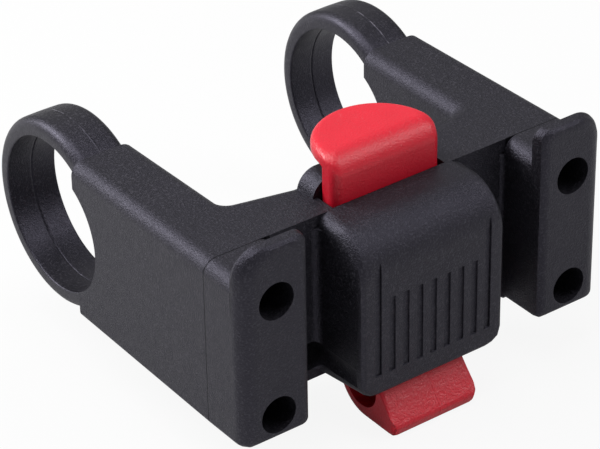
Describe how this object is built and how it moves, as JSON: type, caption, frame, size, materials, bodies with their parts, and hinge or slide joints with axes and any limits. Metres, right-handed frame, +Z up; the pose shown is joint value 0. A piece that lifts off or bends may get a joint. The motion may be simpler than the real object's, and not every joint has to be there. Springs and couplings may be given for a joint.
{
  "type": "handlebar bag mount",
  "caption": "Clamp-on bicycle handlebar adapter for a quick-release bag: arms with round bar straps, a fluted click-in block between rail grooves, and a push-down latch with a hook.",
  "frame": {"origin": "on the handlebar's axis, midway between the clamp straps", "axes": "+X along the handlebar, to the right seen from the bag's side; +Y from the bag to the rider; +Z up"},
  "size_m": [0.084, 0.0878, 0.0547],
  "materials": {
    "black_nylon": "fine moulded grain",
    "strap_nylon": "smooth moulded",
    "screw_steel": "zinc plated",
    "red_plastic": "fine moulded grain"
  },
  "bodies": {
    "adapter": {"adapter_body": "black_nylon", "clamp_strap_left": "strap_nylon", "clamp_strap_right": "strap_nylon", "clamp_screws": "screw_steel", "clamp_nuts": "screw_steel"},
    "latch": {"release_latch": "red_plastic"}
  },
  "joints": [
    {"name": "latch_press", "type": "slide", "parent": "adapter", "child": "latch", "axis": [0, 0, -1], "range_m": [0, 0.0031], "stiffness_N_per_m": 2000, "springref_m": -0.002}
  ]
}
